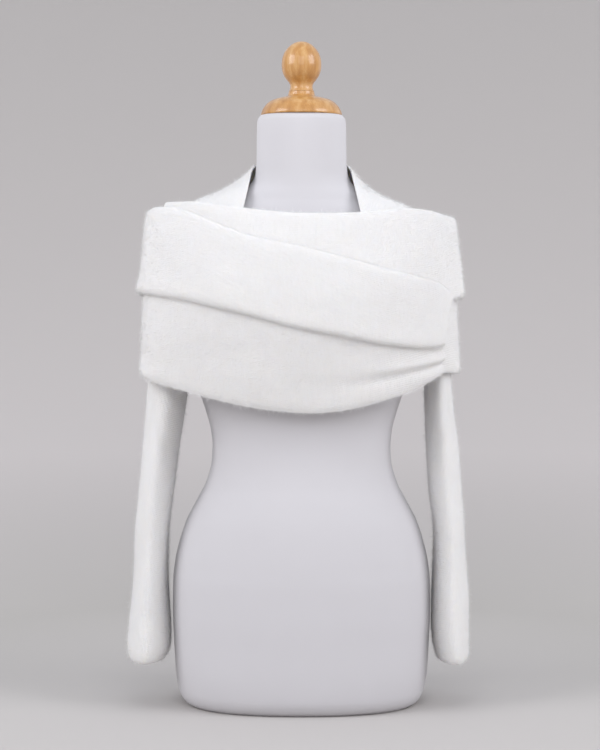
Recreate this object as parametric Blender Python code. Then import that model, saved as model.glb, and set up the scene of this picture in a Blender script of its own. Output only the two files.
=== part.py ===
"""A white knitted wrap shrug on a limbless dress form with a turned wooden cap and ball finial.

The origin is the centre of the form's flat base, on the surface that it stands on. +Z is up, the
front faces -Y and the wearer's left is +X. Tables are in millimetres and degrees. An angle turns
about the vertical axis: 0 is the centre front, 90 the wearer's left side, 180 the centre back.
"""
import math

import bpy
import numpy as np

MM = 0.001

# Cloth: the knit's thickness, the gap left at seams, and the free spaces between layers
KNIT = 2.6
SEAM = 0.3
FOOT_SEAM = 0.5
INNER_LEG = 38.0
NUDGE = 0.05

# Seams between the cut pieces, as angles round the body
SIDE_SEAM = 100.0
CENTRE_BACK = 180.0
HALF_WIDTH = 205.0
HALF_DEPTH = 100.0
BACK_GAP = math.degrees(SEAM / 2 / HALF_WIDTH)
SIDE_GAP = math.degrees(SEAM / 2 / HALF_DEPTH)

# Roundness of the wrap's plan oval: 2 is an ellipse, more is boxier
WRAP_POWER = 2.3

# Facets round each kind of piece
FORM_SIDES = 36
SLEEVE_SIDES = 24
TURNED_SIDES = 28
STATION_STEP = 6.0


class Sections:
    """A short table with named columns, read smoothly between its rows."""

    def __init__(self, columns, *rows):
        self.columns = columns.split()
        self.rows = np.array(rows, dtype=float)

    def column(self, name):
        return self.rows[:, self.columns.index(name)]

    def read(self, name, where):
        """Value of a column by a cubic between the rows that never overshoots them."""
        key = self.rows[:, 0]
        value = self.column(name)
        width = np.diff(key)
        rise = np.diff(value) / width
        slope = np.concatenate([rise[:1], np.zeros(len(key) - 2), rise[-1:]])
        same_way = rise[:-1] * rise[1:] > 0
        both = np.where(same_way, rise[:-1] + rise[1:], 1.0)
        slope[1:-1] = np.where(same_way, 2 * rise[:-1] * rise[1:] / both, 0.0)
        i = np.clip(np.searchsorted(key, where) - 1, 0, len(key) - 2)
        u = np.clip((where - key[i]) / width[i], 0.0, 1.0)
        start = value[i] * (2 * u**3 - 3 * u**2 + 1) + width[i] * slope[i] * (u**3 - 2 * u**2 + u)
        end = value[i + 1] * (3 * u**2 - 2 * u**3) + width[i] * slope[i + 1] * (u**3 - u**2)
        return start + end


# The padded form from base to neck: its half width, its depths in front of and behind the axis,
# and the roundness of its plan oval
FORM = Sections(
    "height half_width front back power",
    (0, 148, 98, 100, 2.3),
    (5, 156, 105, 108, 2.3),
    (19, 164, 111, 115, 2.3),
    (45, 168.5, 113, 119, 2.3),
    (86, 171, 114, 122, 2.25),
    (126, 172.5, 115, 124, 2.2),
    (166, 172, 115, 123, 2.15),
    (193, 169, 114, 119, 2.1),
    (219, 163, 112, 113, 2.1),
    (246, 154, 109, 105, 2.1),
    (273, 140, 104, 96, 2.1),
    (299, 127, 98, 89, 2.1),
    (326, 120, 94, 85, 2.1),
    (346, 119, 93, 84, 2.1),
    (366, 121, 94, 85, 2.1),
    (393, 128, 97, 88, 2.1),
    (420, 137, 101, 92, 2.15),
    (455, 146, 108, 96, 2.2),
    (490, 150, 112, 100, 2.2),
    (525, 149, 111, 103, 2.2),
    (560, 148, 103, 104, 2.2),
    (590, 152, 94, 101, 2.15),
    (612, 157, 87, 97, 2.1),
    (632.5, 160, 80, 91, 2.05),
    (643, 158.5, 75.5, 86, 2.0),
    (650, 155, 72.5, 81.5, 1.95),
    (656.5, 146, 70, 77.5, 1.9),
    (661, 135, 68.3, 74.5, 1.9),
    (665, 121.5, 67, 72.2, 1.9),
    (670, 108, 65, 69.2, 1.9),
    (676, 97, 63.3, 66.5, 1.95),
    (683.5, 84, 61.5, 63.5, 2.0),
    (690.5, 73, 60, 61.5, 2.0),
    (698.5, 65, 59, 60, 2.0),
    (708, 61.5, 58, 58.5, 2.0),
    (722, 60, 57, 57, 2.05),
    (772, 59.2, 55, 55, 2.05),
    (781, 58, 54, 54, 2.05),
    (785, 54.5, 50.5, 50.5, 2.05),
)

# Turned wood, as a profile from the foot to the top
NECK_CAP = Sections(
    "height radius",
    (785.3, 53.2),
    (786.6, 53.8),
    (790, 53.0),
    (795.3, 50.4),
    (799.5, 47.2),
    (803.2, 43.0),
    (806.2, 37.2),
    (808.6, 28.6),
    (810.2, 21.6),
    (812, 18.0),
    (816.8, 16.9),
)
FINIAL = Sections(
    "height radius",
    (817.1, 16.7),
    (819.5, 15.6),
    (822.7, 14.8),
    (825.5, 15.0),
    (828.5, 16.4),
    (832, 19.2),
    (837.5, 23.0),
    (844.5, 25.6),
    (852, 26.4),
    (859.5, 25.8),
    (866.5, 23.7),
    (872.5, 20.2),
    (877.2, 15.8),
    (880.5, 11.2),
    (882.5, 6.6),
    (883.4, 2.6),
)

# The surface that the innermost layer of the wrap hangs on, by height
WRAP = Sections(
    "height left right front back",
    (380, 203, 204, 106, 97),
    (430, 204.5, 205, 113, 102),
    (450, 206, 206.5, 116, 104),
    (470, 206.5, 207.5, 118, 106),
    (500, 206, 208.5, 120.5, 109),
    (540, 204, 207, 120, 111),
    (580, 203.5, 204, 115, 112),
    (620, 200.5, 201.5, 106.5, 109),
    (650, 197.5, 198.5, 97.5, 103),
    (680, 194, 195, 89, 96),
)

# Collar of the wearer's right side: outermost, from the centre back round the right shoulder and
# diagonally over the front. stand_off is how far its folded-in leg stands off the wrap surface.
RIGHT_COLLAR = Sections(
    "angle top bottom stand_off flare",
    (-180, 668, 546, 0, 0.8),
    (-150, 668, 546, 0, 0.8),
    (-110, 660, 546, 0, 1.0),
    (-86, 656, 546.5, 0.2, 1.1),
    (-70, 658.5, 548, 5.0, 0.9),
    (-60, 661.5, 547, 8.6, 0.8),
    (-50, 661, 544, 8.6, 0.7),
    (-40, 653.5, 540, 8.6, 0.6),
    (-31, 641.5, 532.5, 8.6, 0.5),
    (-18, 624, 521.5, 8.6, 0.4),
    (-3, 612, 506.5, 8.6, 0.4),
    (12, 598.5, 495, 8.6, 0.4),
    (28, 582, 483, 8.6, 0.4),
    (41, 571, 479, 8.6, 0.4),
    (50, 564.5, 479.5, 8.6, 0.4),
    (59.8, 551, 481.5, 8.6, 0.3),
)
RIGHT_COLLAR_END = 59.8

# Collar of the wearer's left side: under the other one in front, its tip over the right shoulder
LEFT_COLLAR = Sections(
    "angle top bottom stand_off flare",
    (-60, 668, 575, 0, 0.0),
    (-44, 668.5, 560, 0, 0.0),
    (-25, 661, 545, 0, 0.0),
    (-10, 655, 538, 0, 0.0),
    (0, 652.5, 535, 0, 0.0),
    (17, 653, 532, 0, 0.0),
    (29, 656.5, 532, 0, 0.0),
    (40, 659.5, 532, 0, 0.0),
    (52, 657, 534, 0, 0.0),
    (60, 653, 537, 0, 0.0),
    (68, 650, 540, 0, 0.5),
    (80, 649, 541, 0, 1.0),
    (110, 655, 542, 0, 1.0),
    (150, 668, 546, 0, 0.8),
    (180, 668, 546, 0, 0.8),
)
LEFT_COLLAR_TIP = -58.0

# Hem of the lower body, by angle, with how strongly its turned edge stands out
RIGHT_FRONT = Sections(
    "angle hem flare",
    (-100, 441, 1.0),
    (-84, 440, 1.0),
    (-71, 437, 0.9),
    (-61, 433.5, 0.7),
    (-48, 427, 0.5),
    (-33, 415.5, 0.4),
    (-19, 404, 0.35),
    (-8, 398, 0.3),
    (3, 395.5, 0.3),
    (13, 398, 0.3),
    (21, 404, 0.3),
    (29, 412, 0.3),
    (38, 421.5, 0.25),
    (46, 433, 0.2),
    (54.5, 445.5, 0.15),
)
RIGHT_FRONT_END = 54.5
LEFT_FRONT = Sections(
    "angle hem flare",
    (24, 458, 0.0),
    (45, 451, 0.0),
    (57, 446.5, 0.1),
    (68, 444.5, 0.4),
    (78, 443, 0.5),
    (100, 441, 0.5),
)
LEFT_FRONT_END = 24.0
BACK_PANEL = Sections(
    "angle hem flare",
    (100, 441, 0.5),
    (108, 440.5, 0.5),
    (125, 436, 0.5),
    (155, 431, 0.5),
    (180, 430, 0.5),
    (205, 431, 0.5),
    (235, 436, 0.7),
    (252, 441, 1.0),
    (260, 441, 1.0),
)

# Section of a folded collar, from the foot of its inner leg over the top fold to the lower edge.
# part is 0 on the top line and 1 on the bottom line; up, out and thick are millimetres; swell and
# plump are what the flare adds outwards and to the thickness; lean turns a free end, in degrees.
COLLAR_SECTION = Sections(
    "row part up out swell thick plump lean",
    (0, 0, -INNER_LEG, 0, 0, KNIT, 0, 0),
    (1, 0, -24, 0, 0, KNIT, 0, 0),
    (2, 0, -10, 0, 0, KNIT, 0, 0),
    (3, 0, -3, 1.0, 0, KNIT, 0, 0),
    (4, 0, 0, 3.8, 0, KNIT, 0, 0),
    (5, 0, -3, 6.6, 0, KNIT, 0, 0),
    (6, 0, -10, 7.6, 0, KNIT, 0, 0),
    (7, 0.32, 0, 7.6, 0.2, KNIT, 0, -1.8),
    (8, 0.62, 0, 7.6, 1.2, KNIT, 0, -4.4),
    (9, 0.80, 0, 7.6, 2.8, KNIT, 0.6, -5.9),
    (10, 0.89, 0, 7.6, 4.4, KNIT, 2.4, -6.5),
    (11, 0.955, 0, 7.6, 3.6, KNIT, 2.2, -6.6),
    (12, 1, 0, 6.2, 0.4, 2.2, 0.6, -6.6),
)

# Section of a body panel, from its top seam down to the turned hem
FRONT_SECTION = Sections(
    "row part up out swell thick plump lean",
    (0, 0, 0, KNIT, 0, KNIT, 0, 0),
    (1, 0.18, 0, KNIT, 0, KNIT, 0, 0),
    (2, 0.36, 0, KNIT, 0, KNIT, 0, 0),
    (3, 0.50, 0, KNIT, 0, KNIT, 0, 0),
    (4, 0.60, 0, KNIT, 0.2, KNIT, 0, 0),
    (5, 0.68, 0, KNIT, 0.5, KNIT, 0, 0),
    (6, 0.75, 0, KNIT, 1.0, KNIT, 0, 0),
    (7, 0.82, 0, KNIT, 1.9, KNIT, 0.2, 0),
    (8, 0.88, 0, KNIT, 3.4, KNIT, 1.2, 0),
    (9, 0.93, 0, KNIT, 4.6, KNIT, 2.2, 0),
    (10, 0.972, 0, KNIT, 4.0, KNIT, 1.8, 0),
    (11, 1, 0, KNIT, 1.8, 2.2, 0.2, 0),
)

# Soft troughs in the cloth: where each starts and ends, how deep it is and how wide at each end.
# A depth below 0 is a ridge.
GATHERS = Sections(
    "number angle height end_angle end_height depth width end_width",
    (0, 56, 459, 8, 428, 4.0, 5, 12),
    (1, 56, 469, 14, 441, -3.0, 6, 11),
    (2, 56, 449, 30, 429, -1.2, 6, 9),
)
BACK_FOLDS = Sections(
    "number angle height end_angle end_height depth width end_width",
    (0, 128, 500, 196, 474, 3.0, 12, 15),
    (1, 244, 505, 206, 462, 2.6, 11, 14),
)

# Yoke over the shoulders, by the turn from the centre back: its neck edge, the height of its rim
# and how far inside the wrap surface the rim lies, which leaves the armholes free at the sides
YOKE = Sections(
    "turn edge_x edge_y edge_z rim_z inside",
    (0, 0, 64.5, 731, 600, 0.8),
    (20, 24, 61, 730.5, 600, 0.8),
    (45, 47, 46, 728, 600, 1.0),
    (70, 61, 23, 722, 600, 4.5),
    (90, 66, -4, 714.5, 600, 7),
    (110, 69, -34, 697, 603, 7),
    (128, 73, -62, 673, 609, 4),
    (140, 77, -82, 652, 616, 0.8),
)
# Share of the yoke's drop that lies behind each share of the way from its neck edge to its rim,
# over the wearer's left and right shoulder, at the back and in front
YOKE_FALL = Sections(
    "share left right back front",
    (0, 0, 0, 0, 0),
    (0.12, 0.178, 0.13, 0.08, 0.05),
    (0.33, 0.35, 0.27, 0.24, 0.14),
    (0.55, 0.435, 0.36, 0.42, 0.27),
    (0.75, 0.56, 0.51, 0.60, 0.46),
    (0.90, 0.79, 0.76, 0.80, 0.72),
    (1, 1, 1, 1, 1),
)
YOKE_TURN = 140.0
YOKE_STATIONS = 33

# Sleeves from the armhole to the cuff; rise lifts the outer side of the armhole ring
LEFT_SLEEVE = Sections(
    "height centre_x centre_y half_x half_y rise",
    (60, 202.8, -2, 19.0, 57, 0),
    (67, 202.2, -2, 21.6, 60, 0),
    (84, 200.2, -2, 23.4, 61, 0),
    (112, 199.0, -1, 24.4, 61, 0),
    (139, 199.0, 0, 24.4, 60, 0),
    (179, 198.5, 1, 22.7, 58, 0),
    (232, 198.0, 2, 20.9, 57, 0),
    (286, 192.8, 3, 21.6, 56, 0),
    (340, 188.5, 3, 20.9, 55, 0),
    (390, 184.5, 2, 18.6, 52, 0),
    (426, 182.5, 0.5, 17.6, 48.5, 0),
    (460, 180.0, 0, 18.5, 47.5, 0),
    (510, 177.0, 0, 20.5, 48, 1),
    (560, 175.5, 0, 20.5, 49, 4),
    (590, 175.0, 0, 20.2, 50, 8.6),
)
RIGHT_SLEEVE = Sections(
    "height centre_x centre_y half_x half_y rise",
    (61, 206.4, -4, 21.0, 57, 0),
    (68, 205.2, -4, 25.8, 60, 0),
    (85, 204.3, -3, 28.4, 62, 0),
    (100, 203.8, -2, 27.8, 62, 0),
    (114, 203.5, -1, 27.0, 61, 0),
    (152, 202.5, 0, 24.2, 60, 0),
    (193, 201.2, 1, 22.8, 58, 0),
    (232, 200.0, 2, 22.8, 57, 0),
    (273, 196.0, 3, 22.9, 56, 0),
    (340, 188.5, 3, 23.5, 55, 0),
    (390, 182.0, 3, 25.4, 53, 0),
    (420, 179.0, 3, 26.4, 51, 0),
    (450, 178.0, 2, 24.5, 50, 0),
    (510, 177.0, 1, 21.5, 49, 1),
    (560, 177.0, 0, 21.0, 49, 4),
    (590, 176.0, 0, 21.0, 50, 9.1),
)
SLEEVE_HEM = 30.0
SLEEVE_HEM_PLUMP = 1.6

FINISHES = {
    "knit": ((0.86, 0.86, 0.87, 1.0), 0.95),
    "jersey": ((0.74, 0.73, 0.76, 1.0), 0.85),
    "wood": ((0.62, 0.34, 0.15, 1.0), 0.3),
}


def oval(angle, left, right, front, back, power):
    """Plan position at an angle on an oval with its own reach to each side."""
    turn = np.radians(angle)
    s = np.sin(turn)
    c = np.cos(turn)
    reach = (np.abs(s) ** power + np.abs(c) ** power) ** (-1.0 / power)
    x = np.where(s < 0, left, right) * s * reach
    y = -np.where(c > 0, front, back) * c * reach
    return x, y


def wrap_point(angle, height, stand_off):
    """A point at an angle and height, standing off the wrap's inner surface."""
    reach = [WRAP.read(side, height) + stand_off for side in ("left", "right", "front", "back")]
    x, y = oval(angle, *reach, WRAP_POWER)
    return np.stack([x, y, height + 0 * x], axis=-1)


def soft_step(value):
    """Rises smoothly from 0 to 1."""
    t = np.clip(value, 0.0, 1.0)
    return t * t * (3 - 2 * t)


def trough_depth(troughs, angle, height):
    """Sum of the soft troughs at a place: each is a bell across its line and fades at its far end."""
    depth = 0 * height
    for row in troughs.rows:
        _, start, z_start, end, z_end, deep, width, end_width = row
        along = (angle - start) / (end - start)
        t = np.clip(along, 0.0, 1.0)
        line = z_start + (z_end - z_start) * t
        spread = width + (end_width - width) * t
        fade = soft_step((1 - along) * 2) * soft_step((along + 0.1) * 10)
        depth = depth + deep * fade * np.exp(-(((height - line) / spread) ** 2))
    return depth


def make_object(name, points, faces, finish):
    """A named object with one closed mesh, in millimetres, and its own material."""
    mesh = bpy.data.meshes.new(name)
    mesh.from_pydata((np.asarray(points) * MM).tolist(), [], faces)
    mesh.validate()
    mesh.shade_smooth()
    mesh.set_sharp_from_angle(angle=math.radians(50))
    colour, roughness = FINISHES[finish]
    material = bpy.data.materials.new(f"{name}_{finish}")
    material.use_nodes = True
    shader = material.node_tree.nodes["Principled BSDF"]
    shader.inputs["Base Color"].default_value = colour
    shader.inputs["Roughness"].default_value = roughness
    shader.inputs["Metallic"].default_value = 0.0
    mesh.materials.append(material)
    piece = bpy.data.objects.new(name, mesh)
    bpy.context.scene.collection.objects.link(piece)
    return piece


def ring_body(name, rings, finish):
    """A closed body through rings from the lowest to the highest, flat at both ends."""
    count, sides = rings.shape[:2]
    faces = []
    for i in range(count - 1):
        for j in range(sides):
            k = (j + 1) % sides
            faces.append((i * sides + j, i * sides + k, (i + 1) * sides + k, (i + 1) * sides + j))
    faces.append(tuple(reversed(range(sides))))
    faces.append(tuple(range((count - 1) * sides, count * sides)))
    return make_object(name, rings.reshape(-1, 3), faces, finish)


def wall(name, outer, inner, finish, all_round=False):
    """A sheet of cloth as a closed wall between two grids: stations along it by rows down it."""
    stations, rows = outer.shape[:2]
    points = np.concatenate([outer.reshape(-1, 3), inner.reshape(-1, 3)])
    inside = stations * rows
    faces = []
    steps = stations if all_round else stations - 1
    for i in range(steps):
        here = i * rows
        there = ((i + 1) % stations) * rows
        for j in range(rows - 1):
            quad = (here + j, here + j + 1, there + j + 1, there + j)
            faces.append(quad)
            faces.append(tuple(inside + k for k in reversed(quad)))
        faces.append((here, there, inside + there, inside + here))
        low, low_next = here + rows - 1, there + rows - 1
        faces.append((low_next, low, inside + low, inside + low_next))
    if not all_round:
        last = (stations - 1) * rows
        for j in range(rows - 1):
            faces.append((j + 1, j, inside + j, inside + j + 1))
            faces.append((last + j, last + j + 1, inside + last + j + 1, inside + last + j))
    return make_object(name, points, faces, finish)


def inner_side(outer, along, thickness):
    """The grid moved in by the cloth's thickness, square to the surface."""
    steps = np.diff(outer, axis=1)
    steps /= np.linalg.norm(steps, axis=2, keepdims=True)
    down = np.concatenate([steps[:, :1], steps[:, :-1] + steps[:, 1:], steps[:, -1:]], axis=1)
    square = np.cross(down, along)
    square /= np.linalg.norm(square, axis=2, keepdims=True)
    return outer - square * thickness[..., None]


def stations_between(start, end):
    """Angles of a panel's stations: the ones that all panels share, and its own two ends."""
    first = math.ceil(start / STATION_STEP)
    last = math.floor(end / STATION_STEP)
    shared = [step * STATION_STEP for step in range(first, last + 1)]
    inside = [angle for angle in shared if start + 1.0 < angle < end - 1.0]
    return np.array([start, *inside, end])


def panel(name, section, start, end, top, bottom, stand_off, flare, troughs=None, free_end=False):
    """A panel of the wrap between two angles; its lines are functions of the angle."""
    part, up, out, swell, thick, plump, lean = section.rows[:, 1:].T
    lean = lean * free_end
    share = (stations_between(start, end)[:, None] - start) / (end - start)
    angle = start + (end + lean - start) * share

    def surface(at):
        height = top(at) * (1 - part) + bottom(at) * part + up
        off = stand_off(at) + out + flare(at) * swell
        if troughs is not None:
            off = off - trough_depth(troughs, at, height)
        return wrap_point(at, height, off)

    outer = surface(angle)
    along = surface(angle + NUDGE) - surface(angle - NUDGE)
    inner = inner_side(outer, along, thick + flare(angle) * plump)
    return wall(name, outer, inner, "knit")


def collar(name, lines, start, end, free_end):
    """One half of the folded collar."""
    return panel(
        name,
        COLLAR_SECTION,
        start,
        end,
        top=lambda a: lines.read("top", a),
        bottom=lambda a: lines.read("bottom", a),
        stand_off=lambda a: lines.read("stand_off", a),
        flare=lambda a: lines.read("flare", a),
        free_end=free_end,
    )


def body_panel(name, lines, carried_by, start, end, troughs=None):
    """A lower body panel, sewn to the foot of the collar's inner leg."""
    return panel(
        name,
        FRONT_SECTION,
        start,
        end,
        top=lambda a: carried_by("top", a) - INNER_LEG - FOOT_SEAM,
        bottom=lambda a: lines.read("hem", a),
        stand_off=lambda a: carried_by("stand_off", a),
        flare=lambda a: lines.read("flare", a),
        troughs=troughs,
    )


def either_collar(column, angle):
    """A collar line behind the side seams, where each half carries its own side of the back."""
    left_half = LEFT_COLLAR.read(column, np.minimum(angle, CENTRE_BACK))
    right_half = RIGHT_COLLAR.read(column, np.maximum(angle, CENTRE_BACK) - 360.0)
    return np.where(angle < CENTRE_BACK, left_half, right_half)


def build_wrap():
    """The two collar halves and the three panels that hang from them."""
    collar("right_collar", RIGHT_COLLAR, -CENTRE_BACK + BACK_GAP, RIGHT_COLLAR_END, free_end=True)
    collar("left_collar", LEFT_COLLAR, LEFT_COLLAR_TIP, CENTRE_BACK - BACK_GAP, free_end=False)
    side = SIDE_SEAM - SIDE_GAP
    body_panel("right_front", RIGHT_FRONT, RIGHT_COLLAR.read, -side, RIGHT_FRONT_END, GATHERS)
    body_panel("left_front", LEFT_FRONT, LEFT_COLLAR.read, LEFT_FRONT_END, side)
    back_start = SIDE_SEAM + SIDE_GAP
    back_end = 360.0 - SIDE_SEAM - SIDE_GAP
    body_panel("back_panel", BACK_PANEL, either_collar, back_start, back_end, BACK_FOLDS)


def build_yoke():
    """The upper back and shoulders, from the open neck edge down to the rim inside the collars."""
    turn = np.linspace(-YOKE_TURN, YOKE_TURN, YOKE_STATIONS)[:, None]
    share = YOKE_FALL.column("share")[None, :]

    def surface(at):
        side = np.sign(at)
        size = np.abs(at)
        rim_z = YOKE.read("rim_z", size)
        rim = wrap_point(CENTRE_BACK - at, rim_z, -YOKE.read("inside", size))
        edge_x = side * YOKE.read("edge_x", size)
        edge_y = YOKE.read("edge_y", size)
        edge_z = YOKE.read("edge_z", size)
        to_back = soft_step((90 - size) / 60)
        to_front = soft_step((size - 90) / 38)
        shoulder = np.where(at > 0, YOKE_FALL.column("left"), YOKE_FALL.column("right"))
        fall = shoulder * (1 - to_back - to_front)
        fall = fall + YOKE_FALL.column("back") * to_back + YOKE_FALL.column("front") * to_front
        x = edge_x * (1 - share) + rim[..., 0] * share
        y = edge_y * (1 - share) + rim[..., 1] * share
        z = edge_z * (1 - fall) + rim_z * fall
        return np.stack([x, y, z], axis=-1)

    outer = surface(turn)
    along = surface(turn - NUDGE) - surface(turn + NUDGE)
    inner = inner_side(outer, along, np.full(outer.shape[:2], KNIT))
    return wall("back_yoke", outer[::-1], inner[::-1], "knit")


def build_sleeve(name, table, side):
    """An empty hanging sleeve: a tube through rings, open at the armhole and the cuff."""
    rows = table.rows[::-1]
    height, centre_x, centre_y, half_x, half_y, rise = (rows[:, k] for k in range(6))
    turn = np.linspace(0.0, 2 * math.pi, SLEEVE_SIDES, endpoint=False)[:, None]
    x = side * centre_x + half_x * np.cos(turn)
    y = centre_y + half_y * np.sin(turn)
    z = height + side * rise * np.cos(turn)
    outer = np.stack([x, y, z], axis=-1)
    along = np.roll(outer, -1, axis=0) - np.roll(outer, 1, axis=0)
    hem = soft_step((SLEEVE_HEM - (height - height[-1])) / SLEEVE_HEM)
    thickness = np.broadcast_to(KNIT + SLEEVE_HEM_PLUMP * hem, outer.shape[:2])
    return wall(name, outer, inner_side(outer, along, thickness), "knit", all_round=True)


def build_form():
    """The padded torso and neck, closed and flat at the base and at the top of the neck."""
    height = FORM.column("height")[:, None]
    angle = np.arange(FORM_SIDES)[None, :] * (360.0 / FORM_SIDES)
    width = FORM.column("half_width")[:, None]
    front = FORM.column("front")[:, None]
    back = FORM.column("back")[:, None]
    x, y = oval(angle, width, width, front, back, FORM.column("power")[:, None])
    rings = np.stack([x, y, height + 0 * x], axis=-1)
    return ring_body("form_torso", rings, "jersey")


def build_turned(name, profile):
    """A turned piece of wood through its profile's circles."""
    turn = np.arange(TURNED_SIDES)[None, :] * (2 * math.pi / TURNED_SIDES)
    radius = profile.column("radius")[:, None]
    height = profile.column("height")[:, None]
    rings = np.stack([radius * np.cos(turn), radius * np.sin(turn), height + 0 * turn], axis=-1)
    return ring_body(name, rings, "wood")


def main():
    for item in list(bpy.data.objects):
        bpy.data.objects.remove(item, do_unlink=True)
    build_form()
    build_turned("neck_cap", NECK_CAP)
    build_turned("finial", FINIAL)
    build_yoke()
    build_sleeve("left_sleeve", LEFT_SLEEVE, 1)
    build_sleeve("right_sleeve", RIGHT_SLEEVE, -1)
    build_wrap()


main()
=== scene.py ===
"""The looks of a white knitted wrap shrug on a limbless dress form with a turned wooden finial.

Tables are in millimetres and degrees, in the frame of the part: the origin is the centre of the
form's flat base, +Z is up, the front faces -Y and the wearer's left is +X. An angle turns about the
vertical axis: 0 is the centre front, 90 the wearer's left side, 180 the centre back.
"""
import logging
import math
from collections.abc import Callable
from dataclasses import dataclass, field
from enum import Enum
from typing import Any

import bpy
import numpy as np
import numpy.typing as npt
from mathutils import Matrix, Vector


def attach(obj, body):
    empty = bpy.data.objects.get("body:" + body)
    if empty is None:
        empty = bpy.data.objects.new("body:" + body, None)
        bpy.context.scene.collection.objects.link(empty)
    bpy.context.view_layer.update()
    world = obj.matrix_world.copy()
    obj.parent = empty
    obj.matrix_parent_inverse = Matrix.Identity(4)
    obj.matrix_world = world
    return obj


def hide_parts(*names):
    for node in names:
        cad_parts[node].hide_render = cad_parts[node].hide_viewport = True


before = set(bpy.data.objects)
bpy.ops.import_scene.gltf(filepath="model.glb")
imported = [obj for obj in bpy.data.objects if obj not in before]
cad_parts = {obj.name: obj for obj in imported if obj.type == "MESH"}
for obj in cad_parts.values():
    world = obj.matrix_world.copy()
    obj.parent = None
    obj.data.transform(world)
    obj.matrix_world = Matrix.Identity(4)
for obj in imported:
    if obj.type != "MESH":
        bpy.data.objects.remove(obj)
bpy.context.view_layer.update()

Array = npt.NDArray[np.float64]
Rgb = tuple[float, float, float]

log = logging.getLogger("shrug")

MM = 0.001
TINY = 1e-12
BODY = "root"

# The photograph's frame and the eye that took it
PHOTO_LONG_SIDE = 750
EYE_FOCAL_PIXELS = 1960.0
EYE_PLACE = (-0.002, -2.62, 0.54)
EYE_PITCH = 2.19
SENSOR = 36.0


class Slot(Enum):
    """The record's material slots."""

    KNIT = "knit"
    FORM_COVER = "form_cover"
    WOOD = "wood"


class Held(Enum):
    """How a cut piece of cloth is held up."""

    DRAPED = "draped"
    FOLDED = "folded"
    HUNG = "hung"


class Table:
    """A short table with named columns, read smoothly between its rows."""

    def __init__(self, columns: str, *rows: tuple[float, ...]) -> None:
        """Keeps the columns' names and the rows."""
        self.columns = columns.split()
        self.rows = rows

    def column(self, name: str) -> Array:
        """One column as an array."""
        return np.array(self.rows, dtype=float)[:, self.columns.index(name)]

    def read(self, name: str, where: Array | float) -> Array:
        """Value of a column by a cubic between the rows that never overshoots them.

        In words: each row's slope is the harmonic mean of the rises on its two sides, or level where
        they differ in sign, and a Hermite cubic joins the rows.

        Args:
            name: the column.
            where: places along the first column.

        Returns:
            The column's value at each place.
        """
        key = self.column(self.columns[0])
        value = self.column(name)
        width = np.diff(key)
        rise = np.diff(value) / width
        slope = np.concatenate([rise[:1], np.zeros(len(key) - 2), rise[-1:]])
        same_way = rise[:-1] * rise[1:] > 0
        both = np.where(same_way, rise[:-1] + rise[1:], 1.0)
        slope[1:-1] = np.where(same_way, 2 * rise[:-1] * rise[1:] / both, 0.0)
        i = np.clip(np.searchsorted(key, where) - 1, 0, len(key) - 2)
        u = np.clip((where - key[i]) / width[i], 0.0, 1.0)
        start = value[i] * (2 * u**3 - 3 * u**2 + 1) + width[i] * slope[i] * (u**3 - 2 * u**2 + u)
        end = value[i + 1] * (3 * u**2 - 2 * u**3) + width[i] * slope[i + 1] * (u**3 - u**2)
        return start + end


def soft_step(value: Array) -> Array:
    """Rises smoothly from 0 to 1: three times the square less twice the cube."""
    t = np.clip(value, 0.0, 1.0)
    return t * t * (3 - 2 * t)


def bell(value: Array) -> Array:
    """A soft bump of height 1 at 0: e to the minus square."""
    return np.exp(-(value**2))


def unit(vectors: Array) -> Array:
    """Vectors divided by their own length."""
    return vectors / np.maximum(np.linalg.norm(vectors, axis=-1, keepdims=True), TINY)


def oval(
    angle: Array, left: Array, right: Array, front: Array, back: Array, power: Array | float
) -> tuple[Array, Array]:
    """Plan position on an oval with its own reach to each side.

    In words: the sine and cosine of the angle, divided by the length that puts them on the curve
    where the powers of both add up to one, times the reach to that side.

    Args:
        angle: degrees from the centre front towards the wearer's left.
        left: reach to the wearer's left.
        right: reach to the wearer's right.
        front: reach to the front.
        back: reach to the back.
        power: roundness, 2 for an ellipse and more for a boxier oval.

    Returns:
        The x and y of each point.
    """
    turn = np.radians(angle)
    s = np.sin(turn)
    c = np.cos(turn)
    reach = (np.abs(s) ** power + np.abs(c) ** power) ** (-1.0 / power)
    return np.where(s < 0, right, left) * s * reach, -np.where(c > 0, front, back) * c * reach


def path_length(points: Array, axis: int) -> Array:
    """Length along a grid's lines from their first point, with the grid's own shape."""
    steps = np.linalg.norm(np.diff(points, axis=axis), axis=-1)
    pad = [(0, 0)] * steps.ndim
    pad[axis] = (1, 0)
    return np.cumsum(np.pad(steps, pad), axis=axis)


# Grid lines of a wall of cloth: how far the first ones lie from its edge, and how many points
# measure a line before it is divided
EDGE_STEPS = np.array([0.0, 0.12, 0.42, 0.95, 1.7])
FINE_POINTS = 1500


def spaced(length: float, step: float) -> Array:
    """Distances along a line: close together at its ends, where an edge is rounded, and even between.

    Args:
        length: the line's length.
        step: the spacing between the ends.

    Returns:
        The distances from the line's start.
    """
    inner_length = length - 2 * EDGE_STEPS[-1]
    count = max(2, math.ceil(inner_length / step))
    inner = EDGE_STEPS[-1] + inner_length * np.arange(1, count) / count
    return np.concatenate([EDGE_STEPS, inner, length - EDGE_STEPS[::-1]])


def spread_evenly(line: Callable[[Array], Array], start: float, end: float, step: float) -> Array:
    """Parameters of points that lie evenly along a curve, by its own length.

    Args:
        line: gives the curve's points for an array of parameters.
        start: the parameter where it begins.
        end: the parameter where it ends.
        step: the spacing in millimetres.

    Returns:
        The parameters.
    """
    fine = np.linspace(start, end, FINE_POINTS)
    run = path_length(line(fine), 0)
    return np.interp(spaced(float(run[-1]), step), run, fine)


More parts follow.
